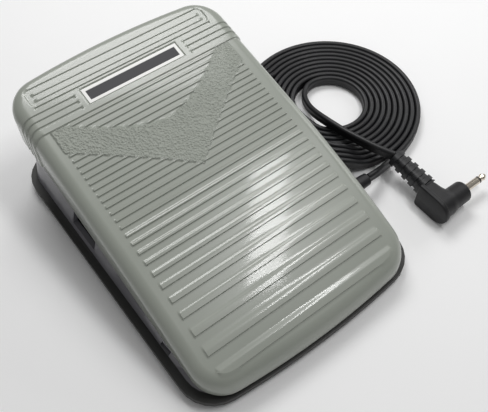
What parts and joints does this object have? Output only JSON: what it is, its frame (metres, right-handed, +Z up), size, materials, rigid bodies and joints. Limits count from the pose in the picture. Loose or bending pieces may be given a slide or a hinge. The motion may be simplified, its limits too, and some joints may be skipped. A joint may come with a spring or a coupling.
{
  "type": "sewing machine foot pedal",
  "caption": "Hinged wedge-shaped foot speed control with ribbed cover, sprung base tray, geared rotary control, and a coiled two-core lead ending in a right-angled jack plug.",
  "frame": {"origin": "centre of the pedal's footprint, on the floor it stands on", "axes": "+X across the pedal towards the side where the lead leaves, +Y from the heel to the raised toe, +Z up"},
  "size_m": [0.1892, 0.1546, 0.0516],
  "materials": {
    "base_plastic": "moulded ABS, glossy grey wall over a near-black flange",
    "cover_plastic": "moulded ABS, fine grain, slightly greenish grey",
    "plate_grey": "printed grey label plate",
    "rim_white": "off-white raised border",
    "steel": "turned steel",
    "spring_steel": "drawn spring wire",
    "natural_nylon": "natural nylon",
    "ballast_iron": "plain steel plate with a mill skin",
    "zinc_screws": "zinc plated",
    "board_green": "green solder mask on a glass fibre board",
    "part_black": "moulded component bodies",
    "bracket_steel": "folded zinc-plated sheet",
    "control_case": "rotary control housing",
    "wire_cover": "PVC wire insulation",
    "cord_pvc": "black PVC flat twin lead, satin",
    "relief_pvc": "black soft PVC",
    "foot_rubber": "black rubber",
    "plug_black": "black moulded PVC, fine grain",
    "jack_nickel": "nickel plate",
    "jack_ring": "black insulating ring"
  },
  "bodies": {
    "base": {"base_tray": "base_plastic", "hinge_rod": "steel", "hinge_clips": "spring_steel", "return_spring_left": "spring_steel", "return_spring_right": "spring_steel", "spring_cups": "natural_nylon", "ballast_plate": "ballast_iron", "ballast_screws": "zinc_screws", "circuit_board": "board_green", "board_screws": "zinc_screws", "board_parts": "part_black", "pot_bracket": "bracket_steel", "bracket_screws": "zinc_screws", "pot_body": "control_case", "pot_nut": "steel", "lead_wires": "wire_cover", "cord_tail": "cord_pvc", "cord_clamp": "natural_nylon", "clamp_screws": "zinc_screws", "cord_gland": "relief_pvc", "rubber_feet": "foot_rubber", "stop_bumpers": "foot_rubber", "cord_pedal_end": "cord_pvc", "cord_coil": "cord_pvc", "cord_plug_end": "cord_pvc", "plug_relief": "relief_pvc", "plug_body": "plug_black", "jack_sleeve": "jack_nickel", "jack_insulator": "jack_ring", "jack_tip": "jack_nickel"},
    "cover": {"pedal_cover": "cover_plastic", "nameplate": "plate_grey", "nameplate_rim": "rim_white", "sector_gear": "natural_nylon", "sector_screws": "zinc_screws"},
    "pinion": {"pot_shaft": "steel", "pot_pinion": "natural_nylon"}
  },
  "joints": [
    {"name": "cover_hinge", "type": "hinge", "parent": "base", "child": "cover", "pos_m": [0, -0.062, 0.009], "axis": [-1, 0, 0], "range_deg": [0, 4], "stiffness_Nm_per_rad": 8, "springref_deg": -171.89, "deforming": ["return_spring_left", "return_spring_right"]},
    {"name": "pinion_turn", "type": "hinge", "parent": "base", "child": "pinion", "pos_m": [0, 0.00237, 0.01805], "axis": [-1, 0, 0], "range_deg": [-48, 0]}
  ],
  "couplings": [
    {"joint": "pinion_turn", "follows": "cover_hinge", "ratio": -12}
  ]
}
